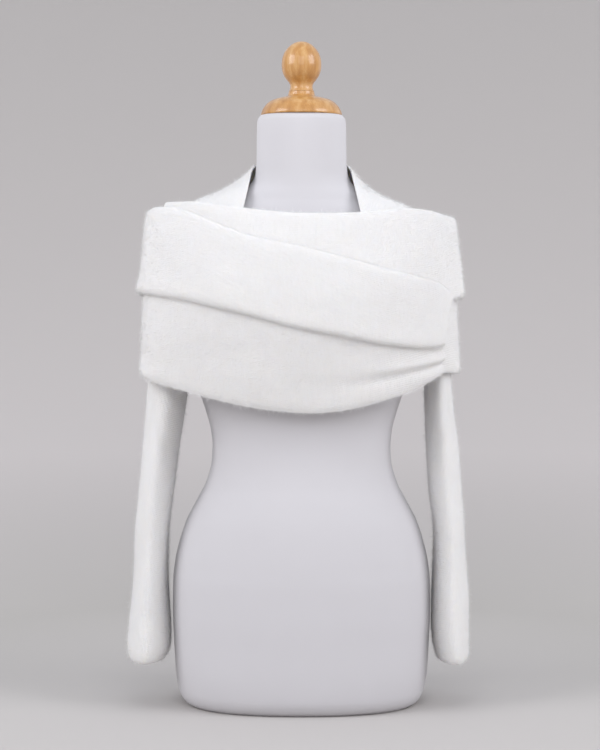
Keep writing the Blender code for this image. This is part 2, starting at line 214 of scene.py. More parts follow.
def place(name: str, points: Array, faces: Array, material: bpy.types.Material) -> bpy.types.Object:
    """Puts a mesh of points in millimetres into the scene.

    Args:
        name: the piece's name.
        points: one row for each vertex.
        faces: one row of vertex numbers for each face.
        material: its finish.

    Returns:
        The new object, at the origin.
    """
    mesh = bpy.data.meshes.new(name)
    mesh.from_pydata(points * MM, [], faces)
    mesh.shade_smooth()
    mesh.materials.append(material)
    piece = bpy.data.objects.new(name, mesh)
    bpy.context.scene.collection.objects.link(piece)
    return piece


@dataclass
class ClothWall:
    """A wall of cloth: a grid of points on its outer side, stations along it by rows down it."""

    outer: Array
    thickness: Array
    all_round: bool = False
    wale: float = 3.0
    course: float = 2.4
    normal: Array = field(init=False)
    middle: Array = field(init=False)
    round_off: Array = field(init=False)

    def __post_init__(self) -> None:
        """Works out the wall's normals, its middle surface and how its edges round off.

        In words: the normal is the cross product of the way down and the way along; the middle lies
        half a thickness in; near an edge the thickness follows a half circle.
        """
        down = np.gradient(self.outer, axis=1)
        if self.all_round:
            along = np.roll(self.outer, -1, axis=0) - np.roll(self.outer, 1, axis=0)
        else:
            along = np.gradient(self.outer, axis=0)
        self.normal = unit(np.cross(down, along))
        half = self.thickness / 2
        self.middle = self.outer - self.normal * half[..., None]
        self.round_off = self._edge(path_length(self.middle, 1), half, 1)
        if not self.all_round:
            self.round_off = self.round_off * self._edge(path_length(self.middle, 0), half, 0)

    @staticmethod
    def _edge(run: Array, half: Array, axis: int) -> Array:
        """Share of the thickness left near a grid's first and last lines: a half circle's height.

        Args:
            run: the length along the grid's lines.
            half: half the thickness.
            axis: the way that the lines run.

        Returns:
            The share at each point.
        """
        total = np.take(run, [-1], axis=axis)
        near = np.clip(np.minimum(run, total - run) / half, 0.0, 1.0)
        return np.sqrt(1 - (1 - near) ** 2)

    def side(self, sign: float) -> Array:
        """The points of the outer side for 1, or of the inner side for -1."""
        reach = self.thickness / 2 * self.round_off * sign
        return self.middle + self.normal * reach[..., None]

    def build(self, name: str, material: bpy.types.Material) -> bpy.types.Object:
        """Makes the closed mesh, with a map that counts its stitches.

        Args:
            name: the piece's name.
            material: its knit.

        Returns:
            The new piece.
        """
        stations, rows = self.thickness.shape
        outer = np.arange(stations * rows).reshape(stations, rows)
        inside = np.zeros((stations, rows), dtype=bool)
        inside[:, 1:-1] = True
        if not self.all_round:
            inside[[0, -1]] = False
        inner = outer.copy()
        inner[inside] = outer.size + np.arange(int(inside.sum()))
        points = np.concatenate([self.side(1).reshape(-1, 3), self.side(-1)[inside]])
        here, there = self.cell_ends()
        front = self._cells(outer, here, there)
        back = self._cells(inner, here, there)[:, ::-1]
        piece = place(name, points, np.concatenate([front, back]), material)
        self._map_stitches(piece.data, here)
        return piece

    def cell_ends(self) -> tuple[Array, Array]:
        """The stations where the cells begin and those where they end."""
        stations = len(self.thickness)
        here = np.arange(stations if self.all_round else stations - 1)
        return here, (here + 1) % stations

    @staticmethod
    def _cells(grid: Array, here: Array, there: Array) -> Array:
        """What a grid holds at the four corners of every cell, one row a cell."""
        corners = [grid[here, :-1], grid[here, 1:], grid[there, 1:], grid[there, :-1]]
        return np.stack(corners, axis=2).reshape(-1, 4, *grid.shape[2:])

    def _map_stitches(self, mesh: bpy.types.Mesh, here: Array) -> None:
        """Writes the stitch map: wales counted along the wall, courses counted down it.

        Args:
            mesh: the wall's mesh.
            here: the stations where its cells begin.
        """
        grid = self.middle
        if self.all_round:
            grid = np.concatenate([grid, grid[:1]])
        along = path_length(grid, 0).mean(axis=1) / self.wale
        if self.all_round:
            along = along * round(along[-1]) / along[-1]
        down = path_length(grid, 1) / self.course
        stitches = np.stack([np.broadcast_to(along[:, None], down.shape), down], axis=-1)
        front = self._cells(stitches, here, here + 1)
        layer = mesh.uv_layers.new(name="stitches")
        both = np.concatenate([front, front[:, ::-1]])
        layer.data.foreach_set("uv", both.astype(np.float32).ravel())


@dataclass(frozen=True)
class Nap:
    """Loose fibres that stand off the brushed knit, each a bent sliver of three triangles.

    length, longest and width are millimetres. lift is the range of how far a fibre leaves along the
    cloth's normal, sideways and bend are spreads along the cloth, and droop and curl hold the mean
    and the spread of how far a fibre leans down and how far its tip turns down.
    """

    length: float = 4.4
    longest: float = 9.5
    shortest_share: float = 0.4
    length_spread: tuple[float, float] = (2.0, 0.3)
    width: float = 0.18
    taper: float = 0.8
    lift: tuple[float, float] = (0.25, 1.0)
    sideways: float = 0.7
    droop: tuple[float, float] = (0.25, 0.6)
    bend: float = 0.5
    curl: tuple[float, float] = (0.2, 0.5)
    sink: float = 0.25

    def grow(
        self, name: str, wall: ClothWall, share: Array, count: int, seed: int, material: bpy.types.Material
    ) -> bpy.types.Object:
        """Grows fibres on the outer side of a wall of cloth.

        In words: a fibre starts at a random place in a cell picked by its area, leaves at a random
        lean between the normal and the cloth, and its outer half bends over.

        Args:
            name: the piece's name.
            wall: the cloth.
            share: how thickly fibres grow in each cell of the wall's grid.
            count: the number of fibres.
            seed: the seed of the random draws.
            material: the fibres' finish.

        Returns:
            The new piece.
        """
        random = np.random.default_rng(seed)
        here, there = wall.cell_ends()
        side = wall.side(1)
        corner = side[here, :-1]
        along = side[there, :-1] - corner
        down = side[here, 1:] - corner
        weight = np.linalg.norm(np.cross(along, down), axis=-1) * share
        chosen = random.choice(weight.size, size=count, p=weight.ravel() / weight.sum())
        a, b = random.random((2, count, 1))
        normal = unit(wall.normal[here, :-1].reshape(-1, 3)[chosen])
        along = along.reshape(-1, 3)[chosen]
        down = down.reshape(-1, 3)[chosen]
        base = corner.reshape(-1, 3)[chosen] + along * a + down * b
        along = unit(along)
        down = unit(down)
        lift = random.uniform(*self.lift, (count, 1))
        lean = along * random.normal(0, self.sideways, (count, 1))
        lean = lean + down * random.normal(*self.droop, (count, 1))
        way = unit(normal * lift + lean)
        share = self.shortest_share + random.gamma(*self.length_spread, (count, 1))
        length = np.minimum(self.length * share, self.longest)
        turn = along * random.normal(0, self.bend, (count, 1))
        turn = turn + down * random.normal(*self.curl, (count, 1))
        half = unit(np.cross(way, normal)) * self.width / 2
        waist = half * self.taper
        middle = base + way * length * 0.5
        tip = base + (way + (turn - normal * self.sink) * 0.5) * length
        points = np.stack([base - half, base + half, middle - waist, middle + waist, tip], axis=1)
        sliver = np.array([(0, 1, 3), (0, 3, 2), (2, 3, 4)])
        faces = (np.arange(count)[:, None, None] * 5 + sliver).reshape(-1, 3)
        piece = place(name, points.reshape(-1, 3), faces, material)
        piece.data.normals_split_custom_set_from_vertices(np.repeat(normal, 5, axis=0))
        return piece


class Wire:
    """A shader socket whose arithmetic adds Math nodes."""

    def __init__(self, board: "Board", socket: bpy.types.NodeSocket) -> None:
        """Keeps the material's board and the socket."""
        self.board = board
        self.socket = socket

    def _math(self, operation: str, *terms: "Wire | float") -> "Wire":
        """Adds one Math node."""
        names = ("Value", "Value_001", "Value_002")
        return self.board.node("ShaderNodeMath", {"operation": operation}, dict(zip(names, terms)))

    def __add__(self, other: "Wire | float") -> "Wire":
        """Sum."""
        return self._math("ADD", self, other)

    __radd__ = __add__

    def __sub__(self, other: "Wire | float") -> "Wire":
        """Difference."""
        return self._math("SUBTRACT", self, other)

    def __rsub__(self, other: float) -> "Wire":
        """Difference."""
        return self._math("SUBTRACT", other, self)

    def __mul__(self, other: "Wire | float") -> "Wire":
        """Product."""
        return self._math("MULTIPLY", self, other)

    __rmul__ = __mul__

    def __abs__(self) -> "Wire":
        """Size without its sign."""
        return self._math("ABSOLUTE", self)

    def fraction(self) -> "Wire":
        """What is left over a whole number."""
        return self._math("FRACT", self)

    def sine(self) -> "Wire":
        """Sine of an angle in radians."""
        return self._math("SINE", self)


class Board:
    """The nodes of one material, round its Principled shader."""

    def __init__(self, name: str) -> None:
        """Makes an empty material of that name."""
        self.material = bpy.data.materials.new(name)
        self.material.use_nodes = True
        self.tree = self.material.node_tree
        self.shader = self.tree.nodes["Principled BSDF"]

    @staticmethod
    def _socket(sockets: Any, name: str) -> bpy.types.NodeSocket:
        """A socket by its identifier, or else by its name."""
        return next((s for s in sockets if s.identifier == name), None) or sockets[name]

    def _feed(self, socket: bpy.types.NodeSocket, value: Any) -> None:
        """Links a wire to a socket, or sets its value.

        Args:
            socket: the socket.
            value: a wire, a number, a vector or a colour of three numbers.
        """
        if isinstance(value, Wire):
            self.tree.links.new(value.socket, socket)
        elif isinstance(value, tuple) and len(value) == 3 and socket.type == "RGBA":
            socket.default_value = (*value, 1.0)
        else:
            socket.default_value = value

    def node(self, kind: str, settings: dict[str, Any], sockets: dict[str, Any], result: str = "") -> Wire:
        """Adds any node.

        Args:
            kind: the node's type.
            settings: its own settings, set first; "stops" holds a ramp's places and colours.
            sockets: values or wires for its inputs.
            result: the output to return, or the first one.

        Returns:
            The output.
        """
        node = self.tree.nodes.new(kind)
        for name, value in settings.items():
            if name == "stops":
                self._set_stops(node.color_ramp, value)
            else:
                setattr(node, name, value)
        for name, value in sockets.items():
            self._feed(self._socket(node.inputs, name), value)
        return Wire(self, self._socket(node.outputs, result) if result else node.outputs[0])

    @staticmethod
    def _set_stops(ramp: bpy.types.ColorRamp, stops: tuple[tuple[float, Rgb], ...]) -> None:
        """Sets a colour ramp's stops from places and colours."""
        for at, _ in stops[2:]:
            ramp.elements.new(at)
        for element, (at, colour) in zip(ramp.elements, stops):
            element.position = at
            element.color = (*colour, 1.0)

    def mix(self, factor: Wire, low: Rgb | Wire, high: Rgb | Wire) -> Wire:
        """A colour between two others, by a factor."""
        sockets = {"Factor_Float": factor, "A_Color": low, "B_Color": high}
        return self.node("ShaderNodeMix", {"data_type": "RGBA"}, sockets, "Result_Color")

    def places(self, scale: tuple[float, float, float] = (1.0, 1.0, 1.0)) -> Wire:
        """Object coordinates, stretched by a scale."""
        where = self.node("ShaderNodeTexCoord", {}, {}, "Object")
        return self.node("ShaderNodeMapping", {}, {"Vector": where, "Scale": scale})

    def noise(self, where: Wire, scale: float, detail: float = 2.0) -> Wire:
        """Soft noise from 0 to 1."""
        sockets = {"Vector": where, "Scale": scale, "Detail": detail, "Roughness": 0.55}
        return self.node("ShaderNodeTexNoise", {}, sockets, "Fac")

    def bump(self, height: Wire, distance: float, strength: float) -> Wire:
        """A normal from a height."""
        sockets = {"Height": height, "Distance": distance, "Strength": strength}
        return self.node("ShaderNodeBump", {}, sockets)

    def finish(self, **sockets: Any) -> bpy.types.Material:
        """Sets or links the shader's sockets, named with _ for each space."""
        for name, value in sockets.items():
            self._feed(self.shader.inputs[name.replace("_", " ")], value)
        return self.material


@dataclass(frozen=True)
class KnitFinish:
    """White yarn in fine stockinette, brushed, so its stitches show only faintly."""

    light: Rgb = (0.962, 0.95, 0.93)
    dark: Rgb = (0.885, 0.864, 0.832)
    slant: float = 0.9
    strand_relief: float = 0.25
    fuzz_scale: float = 750.0
    tuft_scale: float = 150.0
    drift_scale: float = 22.0
    streak_scale: float = 330.0
    streak_stretch: float = 0.16
    stitch_height: float = 0.0011
    stitch_strength: float = 1.0
    sheen: float = 0.25
    glow: float = 0.35
    glow_spread: Rgb = (1.0, 0.88, 0.72)
    glow_depth: float = 0.004

    def material(self) -> bpy.types.Material:
        """Makes the material.

        In words: each wale has two legs, rounded across, whose strands slant up and out, so the
        courses make small Vs; soft noise on top is the brushed nap, drawn out down the cloth as
        streaks. The same patterns, weighed in other shares, give the height and the tone; in the
        tone the stitches paint shade into the gaps between the legs, and the noise is the yarn's
        own uneven tone.

        Returns:
            The material.
        """
        board = Board("knit")
        uv = board.node("ShaderNodeUVMap", {"uv_map": "stitches"}, {})
        wales = board.node("ShaderNodeSeparateXYZ", {}, {"Vector": uv}, "X")
        courses = board.node("ShaderNodeSeparateXYZ", {}, {"Vector": uv}, "Y")
        leg = abs(wales.fraction() - 0.5)
        across = leg * 4.0 - 1.0
        strand = ((courses + leg * self.slant) * (2 * math.pi)).sine()
        stitch = (1.0 - across * across) * (strand * self.strand_relief + (1 - self.strand_relief))
        where = board.places()
        fuzz = board.noise(where, self.fuzz_scale, 3.0)
        tufts = board.noise(where, self.tuft_scale, 3.0)
        drift = board.noise(where, self.drift_scale)
        streaks = board.noise(board.places((1.0, 1.0, self.streak_stretch)), self.streak_scale, 3.0)
        height = stitch * 0.8 + streaks * 0.7 + fuzz * 0.6 + tufts
        # Partly painted shade: the stitch term darkens the gaps between the legs; the noise terms are the
        # yarn's own uneven tone
        tone = stitch * 0.3 + fuzz * 0.2 + tufts * 0.2 + streaks * 0.7 + drift * 0.3 - 0.35
        return board.finish(
            Base_Color=board.mix(tone, self.dark, self.light),
            Roughness=1.0,
            Specular_IOR_Level=0.15,
            Subsurface_Weight=self.glow,
            Subsurface_Radius=self.glow_spread,
            Subsurface_Scale=self.glow_depth,
            Sheen_Weight=self.sheen,
            Sheen_Roughness=0.6,
            Normal=board.bump(height, self.stitch_height, self.stitch_strength),
        )


@dataclass(frozen=True)
class NapFinish:
    """The pale fibres of the brushed nap."""

    colour: Rgb = (0.93, 0.928, 0.92)
    shade: float = 0.96
    patch_scale: float = 90.0

    def material(self) -> bpy.types.Material:
        """Makes the material: soft patches of the colour and of a slightly darker one."""
        board = Board("nap")
        tone = board.noise(board.places(), self.patch_scale)
        shade = tuple(self.shade * value for value in self.colour)
        return board.finish(
            Base_Color=board.mix(tone, shade, self.colour),
            Roughness=1.0,
            Specular_IOR_Level=0.1,
        )


@dataclass(frozen=True)
class JerseyFinish:
    """The form's cover: fine white cotton jersey, drawn smooth."""

    light: Rgb = (0.588, 0.579, 0.596)
    dark: Rgb = (0.559, 0.549, 0.564)
    rib_scale: float = 1900.0
    rib_stretch: float = 0.3
    rib_height: float = 0.00012
    drift_scale: float = 14.0

    def material(self) -> bpy.types.Material:
        """Makes the material: fine upright ribs of stretched noise under a soft drift of tone."""
        board = Board("jersey")
        ribs = board.noise(board.places((1.0, 1.0, self.rib_stretch)), self.rib_scale, 1.0)
        drift = board.noise(board.places(), self.drift_scale)
        tone = ribs * 0.5 + drift * 0.5
        return board.finish(
            Base_Color=board.mix(tone, self.dark, self.light),
            Roughness=0.85,
            Specular_IOR_Level=0.25,
            Sheen_Weight=0.15,
            Sheen_Roughness=0.5,
            Normal=board.bump(ribs, self.rib_height, 0.5),
        )


@dataclass(frozen=True)
class WoodFinish:
    """Pale turned wood under a glossy varnish, with its grain upright."""

    dark: Rgb = (0.40, 0.183, 0.045)
    middle: Rgb = (0.49, 0.243, 0.066)
    light: Rgb = (0.60, 0.355, 0.14)
    grain_scale: float = 130.0
    grain_stretch: float = 0.09
    pore_scale: float = 900.0
    pore_stretch: float = 0.12
    pore_depth: float = 0.00008
    drift_scale: float = 18.0

    def material(self) -> bpy.types.Material:
        """Makes the material.

        In words: noise drawn out along the height gives the grain, fine short dashes of a second one
        the pores, and a third one lets the tone drift. Their sum picks the colour from the ramp.

        Returns:
            The material.
        """
        board = Board("wood")
        grain = board.noise(board.places((1.0, 1.0, self.grain_stretch)), self.grain_scale, 4.0)
        pores = board.noise(board.places((1.0, 1.0, self.pore_stretch)), self.pore_scale, 2.0)
        drift = board.noise(board.places(), self.drift_scale)
        tone = grain * 0.75 + pores * 0.25 + drift * 0.3 - 0.15
        stops = ((0.33, self.dark), (0.5, self.middle), (0.68, self.light))
        colour = board.node("ShaderNodeValToRGB", {"stops": stops}, {"Fac": tone}, "Color")
        return board.finish(
            Base_Color=colour,
            Roughness=0.42,
            Coat_Weight=0.6,
            Coat_Roughness=0.12,
            Normal=board.bump(pores, self.pore_depth, 0.25),
        )


@dataclass(frozen=True)
class BackdropFinish:
    """Matt pale grey paper whose colour holds painted light and shade: darker round the object, paler where
    it rises, and darker again above.

    Each tone has its distance in metres from the middle of the object's base. reach is the distance
    at which the ramp ends.
    """

    # Painted light and shade: the floor is darkened and the rising wall paled, standing in for how the
    # lamps light them
    painted_light_tones: tuple[tuple[float, Rgb], ...] = (
        (0.25, (0.502, 0.482, 0.468)),
        (0.85, (0.47, 0.45, 0.428)),
        (3.0, (0.69, 0.65, 0.632)),
        (4.6, (0.575, 0.548, 0.528)),
    )
    reach: float = 5.0

    def material(self) -> bpy.types.Material:
        """Makes the material: the distance, as a share of the reach, picks the painted light and shade from
        a ramp.
        """
        board = Board("backdrop")
        sockets = {"Vector": board.places()}
        distance = board.node("ShaderNodeVectorMath", {"operation": "LENGTH"}, sockets, "Value")
        stops = tuple((metres / self.reach, colour) for metres, colour in self.painted_light_tones)
        share = distance * (1 / self.reach)
        # The backdrop's painted light and shade, by distance
        tone = board.node("ShaderNodeValToRGB", {"stops": stops}, {"Fac": share}, "Color")
        return board.finish(Base_Color=tone, Roughness=1.0, Specular_IOR_Level=0.0)


@dataclass(frozen=True)
class Finishes:
    """Every finish, made once."""

    knit: bpy.types.Material
    nap: bpy.types.Material
    jersey: bpy.types.Material
    wood: bpy.types.Material
    backdrop: bpy.types.Material


def present(piece: bpy.types.Object, node: str | None, slot: Slot) -> None:
    """Attaches a new piece to the body, hides the part that it stands for, if any, and logs it.

    Args:
        piece: the piece.
        node: the node that it stands for, if any.
        slot: the material slot that it takes its finish from; not used.
    """
    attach(piece, BODY)
    if node:
        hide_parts(node)
    log.info("%s: %d faces", piece.name, len(piece.data.polygons))


@dataclass(frozen=True)
class Cut:
    """One cut piece of cloth: its flat size in metres and what holds it."""

    flat: tuple[float, float]
    held: Held
    rests_on: tuple[str, ...]


@dataclass
class KnitPiece:
    """One cut piece of the shrug, with the nap that grows on it."""

    node: str
    cut: Cut
    fibres: int
    seed: int

    def dress(self, wall: ClothWall, share: Array, finishes: Finishes) -> None:
        """Builds the piece and its nap, and attaches both to the body.

        Args:
            wall: the cloth.
            share: how thickly the nap grows in each cell of its grid.
            finishes: the materials.
        """
        knit = wall.build(f"{self.node}_knit", finishes.knit)
        present(knit, self.node, Slot.KNIT)
        nap = Nap().grow(f"{self.node}_nap", wall, share, self.fibres, self.seed, finishes.nap)
        present(nap, None, Slot.KNIT)
        list(self.cut.rests_on)


# Cloth: the knit's thickness, the spacing of its grid, the collar's inner leg and the seams' gaps
KNIT = 2.6
GRID_STEP = 3.6
INNER_LEG = 38.0
FOOT_SEAM = 0.5
SEAM = 0.3

# The least share of nap that a cell grows, so that every cell can be drawn
LEAST_NAP = 1e-6

# Seams between the cut pieces, as angles round the body. Half of each gap is an angle too, by the
# body's half width or half depth.
SIDE_SEAM = 100.0
CENTRE_BACK = 180.0
HALF_WIDTH = 205.0
HALF_DEPTH = 100.0
BACK_GAP = math.degrees(SEAM / 2 / HALF_WIDTH)
SIDE_GAP = math.degrees(SEAM / 2 / HALF_DEPTH)

# The surface that the innermost layer of the wrap hangs on, by height
WRAP = Table(
    "height left right front back",
    (380, 203, 204, 106, 97),
    (430, 204.5, 205, 113, 102),
    (450, 206, 206.5, 116, 104),
    (470, 206.5, 207.5, 118, 106),
    (500, 206, 208.5, 120.5, 109),
    (540, 204, 207, 120, 111),
    (580, 203.5, 204, 115, 112),
    (620, 200.5, 201.5, 106.5, 109),
    (650, 197.5, 198.5, 97.5, 103),
    (680, 194, 195, 89, 96),
)
WRAP_POWER = 2.3

# Collar of the wearer's right side, the outermost layer in front
RIGHT_COLLAR = Table(
    "angle top bottom stand_off flare",
    (-180, 668, 546, 0, 0.8),
    (-150, 668, 546, 0, 0.8),
    (-110, 660, 546, 0, 1.0),
    (-86, 656, 546.5, 0.2, 1.1),
    (-70, 658.5, 548, 5.0, 0.9),
    (-60, 661.5, 547, 8.6, 0.8),
    (-50, 661, 544, 8.6, 0.7),
    (-40, 653.5, 540, 8.6, 0.6),
    (-31, 641.5, 532.5, 8.6, 0.5),
    (-18, 624, 521.5, 8.6, 0.4),
    (-3, 612, 506.5, 8.6, 0.4),
    (12, 598.5, 495, 8.6, 0.4),
    (28, 582, 483, 8.6, 0.4),
    (41, 571, 479, 8.6, 0.4),
    (50, 564.5, 479.5, 8.6, 0.4),
    (59.8, 551, 481.5, 8.6, 0.3),
)

# Collar of the wearer's left side, under the other one in front
LEFT_COLLAR = Table(
    "angle top bottom stand_off flare",
    (-60, 668, 575, 0, 0.0),
    (-44, 668.5, 560, 0, 0.0),
    (-25, 661, 545, 0, 0.0),
    (-10, 655, 538, 0, 0.0),
    (0, 652.5, 535, 0, 0.0),
    (17, 653, 532, 0, 0.0),
    (29, 656.5, 532, 0, 0.0),
    (40, 659.5, 532, 0, 0.0),
    (52, 657, 534, 0, 0.0),
    (60, 653, 537, 0, 0.0),
    (68, 650, 540, 0, 0.5),
    (80, 649, 541, 0, 1.0),
    (110, 655, 542, 0, 1.0),
    (150, 668, 546, 0, 0.8),
    (180, 668, 546, 0, 0.8),
)

# Bottom line of the lower body, by angle, with how strongly its turned edge stands out
RIGHT_FRONT = Table(
    "angle bottom flare",
    (-100, 441, 1.0), (-84, 440, 1.0), (-71, 437, 0.9), (-61, 433.5, 0.7), (-48, 427, 0.5),
    (-33, 415.5, 0.4), (-19, 404, 0.35), (-8, 398, 0.3), (3, 395.5, 0.3), (13, 398, 0.3),
    (21, 404, 0.3), (29, 412, 0.3), (38, 421.5, 0.25), (46, 433, 0.2), (54.5, 445.5, 0.15),
)
LEFT_FRONT = Table(
    "angle bottom flare",
    (24, 458, 0.0), (45, 451, 0.0), (57, 446.5, 0.1), (68, 444.5, 0.4), (78, 443, 0.5),
    (100, 441, 0.5),
)
BACK_PANEL = Table(
    "angle bottom flare",
    (100, 441, 0.5), (108, 440.5, 0.5), (125, 436, 0.5), (155, 431, 0.5), (180, 430, 0.5),
    (205, 431, 0.5), (235, 436, 0.7), (252, 441, 1.0), (260, 441, 1.0),
)

# Section of a folded collar, from the foot of its inner leg over the top fold to the lower edge.
# part is 0 on the top line and 1 on the bottom line; up, out and thick are millimetres; swell and
# plump are what the flare adds outwards and to the thickness; lean turns a free end, in degrees.
COLLAR_SECTION = Table(
    "row part up out swell thick plump lean",
    (0, 0, -INNER_LEG, 0, 0, KNIT, 0, 0),
    (1, 0, -24, 0, 0, KNIT, 0, 0),
    (2, 0, -10, 0, 0, KNIT, 0, 0),
    (3, 0, -3, 1.0, 0, KNIT, 0, 0),
    (4, 0, 0, 3.8, 0, KNIT, 0, 0),
    (5, 0, -3, 6.6, 0, KNIT, 0, 0),
    (6, 0, -10, 7.6, 0, KNIT, 0, 0),
    (7, 0.32, 0, 7.6, 0.2, KNIT, 0, -1.8),
    (8, 0.62, 0, 7.6, 1.2, KNIT, 0, -4.4),
    (9, 0.80, 0, 7.6, 2.8, KNIT, 0.6, -5.9),
    (10, 0.89, 0, 7.6, 4.4, KNIT, 2.4, -6.5),
    (11, 0.955, 0, 7.6, 3.6, KNIT, 2.2, -6.6),
    (12, 1, 0, 6.2, 0.4, 2.2, 0.6, -6.6),
)
COLLAR_NAP_FROM = 2.5

# Section of a body panel, from its top seam down to the turned hem
FRONT_SECTION = Table(
    "row part up out swell thick plump lean",
    (0, 0, 0, KNIT, 0, KNIT, 0, 0),
    (1, 0.18, 0, KNIT, 0, KNIT, 0, 0),
    (2, 0.36, 0, KNIT, 0, KNIT, 0, 0),
    (3, 0.50, 0, KNIT, 0, KNIT, 0, 0),
    (4, 0.60, 0, KNIT, 0.2, KNIT, 0, 0),
    (5, 0.68, 0, KNIT, 0.5, KNIT, 0, 0),
    (6, 0.75, 0, KNIT, 1.0, KNIT, 0, 0),
    (7, 0.82, 0, KNIT, 1.9, KNIT, 0.2, 0),
    (8, 0.88, 0, KNIT, 3.4, KNIT, 1.2, 0),
    (9, 0.93, 0, KNIT, 4.6, KNIT, 2.2, 0),
    (10, 0.972, 0, KNIT, 4.0, KNIT, 1.8, 0),
    (11, 1, 0, KNIT, 1.8, 2.2, 0.2, 0),
)
FRONT_NAP_FROM = 1.5

# Soft troughs in the cloth: where each starts and ends, how deep it is and how wide at each end.
# A trough with a depth below 0 is a ridge.
TROUGH_COLUMNS = "angle height end_angle end_height depth width end_width"
GATHERS = Table(
    TROUGH_COLUMNS,
    (56, 459, 8, 428, 3.4, 2.6, 11),
    (56, 466, 14, 440, -2.8, 5, 12),
    (56, 450, 30, 430, -1.0, 5, 10),
    (56, 475, 42, 471, 1.4, 2.4, 4),
    (-72, 470, -20, 430, 1.3, 12, 20),
    (-40, 455, 4, 414, -1.0, 14, 18),
)
BACK_FOLDS = Table(
    TROUGH_COLUMNS,
    (128, 500, 196, 474, 3.0, 12, 15),
    (244, 505, 206, 462, 2.6, 11, 14),
    (150, 520, 176, 446, 1.2, 10, 16),
)
NO_FOLDS = Table(TROUGH_COLUMNS)


def trough_depth(troughs: Table, angle: Array, height: Array) -> Array:
    """Sum of the soft troughs at a place.

    In words: each is a bell across its own line and widens along it. It sets in over a tenth of the
    line's length before its start and fades over the line's second half.

    Args:
        troughs: the troughs' lines and sizes.
        angle: where, round the body.
        height: where, above the base.

    Returns:
        How far the cloth sinks in.
    """
    depth = 0 * height
    for start, z_start, end, z_end, deep, width, end_width in troughs.rows:
        along = (angle - start) / (end - start)
        t = np.clip(along, 0.0, 1.0)
        line = z_start + (z_end - z_start) * t
        fade = soft_step((1 - along) * 2) * soft_step((along + 0.1) * 10)
        depth = depth + deep * fade * bell((height - line) / (width + (end_width - width) * t))
    return depth


# Slow waves in the cloth: how deep, how many round the body, where each starts and its rise
SLACK = Table(
    "depth waves start rise",
    (0.45, 3.1, 40, 38.0),
    (0.30, 7.3, -25, -21.0),
    (0.20, 12.7, 110, 13.0),
)


def slack(angle: Array, height: Array) -> Array:
    """The cloth's own small unevenness, shared by all the layers: the sum of the slow waves."""
    return sum(
        depth * np.sin(np.radians(angle * waves + start) + height / rise)
        for depth, waves, start, rise in SLACK.rows
    )


def wrap_point(angle: Array, height: Array, stand_off: Array) -> Array:
    """A point at an angle and height, standing off the wrap's inner surface.

    Args:
        angle: where, round the body.
        height: where, above the base.
        stand_off: how far it lies outside the surface.

    Returns:
        The point.
    """
    reach = [WRAP.read(side, height) + stand_off for side in ("left", "right", "front", "back")]
    x, y = oval(angle, *reach, WRAP_POWER)
    return np.stack([x, y, height + 0 * x], axis=-1)


@dataclass
class WrapPanel(KnitPiece):
    """A panel of the wrap between two angles, with its lines in a table by the angle."""

    lines: Table
    start: float
    end: float
    section: Table = FRONT_SECTION
    nap_from: float = FRONT_NAP_FROM
    troughs: Table = NO_FOLDS
    free_end: bool = False
    edge_rows: float = 2.0
    edge_nap: float = 2.5
    middle: float = 0.7

    def top(self, angle: Array) -> Array:
        """Height of the top line."""
        return self.lines.read("top", angle)

    def bottom(self, angle: Array) -> Array:
        """Height of the bottom line."""
        return self.lines.read("bottom", angle)

    def stand_off(self, angle: Array) -> Array:
        """How far the panel stands off the wrap's inner surface."""
        return self.lines.read("stand_off", angle)

    def angle(self, share: Array, row: Array) -> Array:
        """The angle at a share of the way round, where a free end leans by the section's lean."""
        lean = self.section.read("lean", row) * self.free_end
        return self.start + (self.end + lean - self.start) * share

    def surface(self, share: Array, row: Array) -> Array:
        """The outer side at a share of the way round and a row of the section.

        In words: the section's part mixes the top and bottom lines into a height, and its out and
        swell move the point away from the wrap's inner surface, less the troughs.

        Args:
            share: from 0 at the panel's start to 1 at its end.
            row: place down the section.

        Returns:
            The points.
        """
        at = {name: self.section.read(name, row) for name in ("part", "up", "out", "swell")}
        angle = self.angle(share, row)
        height = self.top(angle) * (1 - at["part"]) + self.bottom(angle) * at["part"] + at["up"]
        off = self.stand_off(angle) + at["out"] + self.lines.read("flare", angle) * at["swell"]
        off = off - trough_depth(self.troughs, angle, height) + slack(angle, height)
        return wrap_point(angle, height, off)

    def build(self, finishes: Finishes) -> None:
        """Builds the panel and its nap.

        Args:
            finishes: the materials.
        """
        last_row = self.section.rows[-1][0]
        middle_row = last_row * self.middle
        rows = spread_evenly(lambda r: self.surface(0.5 + 0 * r, r), 0.0, last_row, GRID_STEP)
        shares = spread_evenly(lambda s: self.surface(s, middle_row + 0 * s), 0.0, 1.0, GRID_STEP)
        share, row = np.meshgrid(shares, rows, indexing="ij")
        flare = self.lines.read("flare", self.angle(share, row))
        plump = self.section.read("plump", row) * flare
        outer = self.surface(share, row)
        wall = ClothWall(outer, self.section.read("thick", row) + plump)
        near_edge = soft_step(row[:-1, :-1] - last_row + self.edge_rows)
        nap = soft_step(row[:-1, :-1] - self.nap_from) + self.edge_nap * near_edge
        self.dress(wall, nap + LEAST_NAP, finishes)


def either_collar(column: str, angle: Array) -> Array:
    """A collar line behind the side seams, where each half carries its own side of the back.

    Args:
        column: the line's column in the collar tables.
        angle: where, round the body.

    Returns:
        The line's value.
    """
    left_half = LEFT_COLLAR.read(column, np.minimum(angle, CENTRE_BACK))
    right_half = RIGHT_COLLAR.read(column, np.maximum(angle, CENTRE_BACK) - 360.0)
    return np.where(angle < CENTRE_BACK, left_half, right_half)


@dataclass
class CollarHalf(WrapPanel):
    """One half of the folded collar, with its inner leg, its top fold and its outer leg."""

    section: Table = COLLAR_SECTION
    nap_from: float = COLLAR_NAP_FROM


